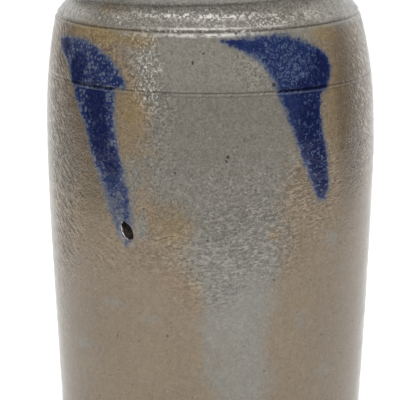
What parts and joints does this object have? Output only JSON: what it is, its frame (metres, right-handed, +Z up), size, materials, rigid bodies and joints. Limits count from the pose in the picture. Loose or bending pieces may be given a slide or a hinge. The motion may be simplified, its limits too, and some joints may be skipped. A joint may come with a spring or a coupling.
{
  "type": "stoneware crock",
  "caption": "Tall salt-glazed stoneware storage crock with a rounded shoulder, collared rim, brushed cobalt leaves and a drop-in lid with a turned knob.",
  "frame": {"origin": "centre of the flat foot the crock stands on", "axes": "+Z up along the crock's axis of turning; -Y is the front, with a leaf to each side; +X is to the right seen from the front"},
  "size_m": [0.172, 0.1728, 0.2826],
  "materials": {
    "salt_glazed_stoneware": "orange-peel salt glaze, grey toasted to tan",
    "brown_slip": "smooth glossy brown slip glaze",
    "iron_stone": "melted iron bleed",
    "cobalt": "brushed cobalt under salt glaze",
    "lid_stoneware": "orange-peel salt glaze"
  },
  "bodies": {
    "crock": {"crock_body": "salt_glazed_stoneware", "slip_lining": "brown_slip", "iron_stone": "iron_stone", "cobalt_leaf_1": "cobalt", "cobalt_leaf_2": "cobalt", "cobalt_leaf_3": "cobalt", "cobalt_leaf_4": "cobalt", "cobalt_leaf_5": "cobalt"},
    "lid": {"lid_disc": "lid_stoneware", "lid_knob": "lid_stoneware"}
  },
  "joints": [
    {"name": "lid_lift", "type": "slide", "parent": "crock", "child": "lid", "axis": [0, 0, 1], "range_m": [0, 0.12]}
  ]
}
